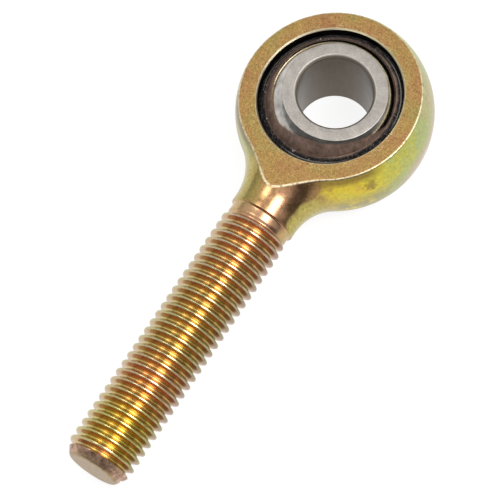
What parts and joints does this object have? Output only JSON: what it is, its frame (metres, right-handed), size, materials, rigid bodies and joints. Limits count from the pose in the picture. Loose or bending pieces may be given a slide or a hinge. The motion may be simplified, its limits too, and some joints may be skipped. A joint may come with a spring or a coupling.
{
  "type": "rod end bearing",
  "caption": "Male rod end: ball-shaped head with two flats holding a swivelling bored steel ball in a plastic race, on a long threaded shank.",
  "frame": {"origin": "centre of the ball, which is also the centre of the head", "axes": "+Z along the ball's bore, +X towards the tip of the threaded shank, lying on a surface at Z = -10 mm"},
  "size_m": [0.1081, 0.04, 0.02],
  "materials": {
    "plated_steel": "yellow zinc plated steel, iridescent gold to green",
    "race_plastic": "black moulded glass-filled nylon",
    "ball_steel": "ground and polished steel, satin flats"
  },
  "bodies": {
    "shank_body": {"rod_end_body": "plated_steel"},
    "race_body": {"race": "race_plastic"},
    "ball_body": {"ball": "ball_steel"}
  },
  "joints": [
    {"name": "ball_swivel", "type": "hinge", "parent": "shank_body", "child": "race_body", "pos_m": [0, 0, 0], "axis": [0.0342, -0.134, 0.9904], "continuous": true},
    {"name": "ball_tilt", "type": "hinge", "parent": "race_body", "child": "ball_body", "pos_m": [0, 0, 0], "axis": [0.9689, 0.2476, 0], "range_deg": [-4, 20]}
  ]
}
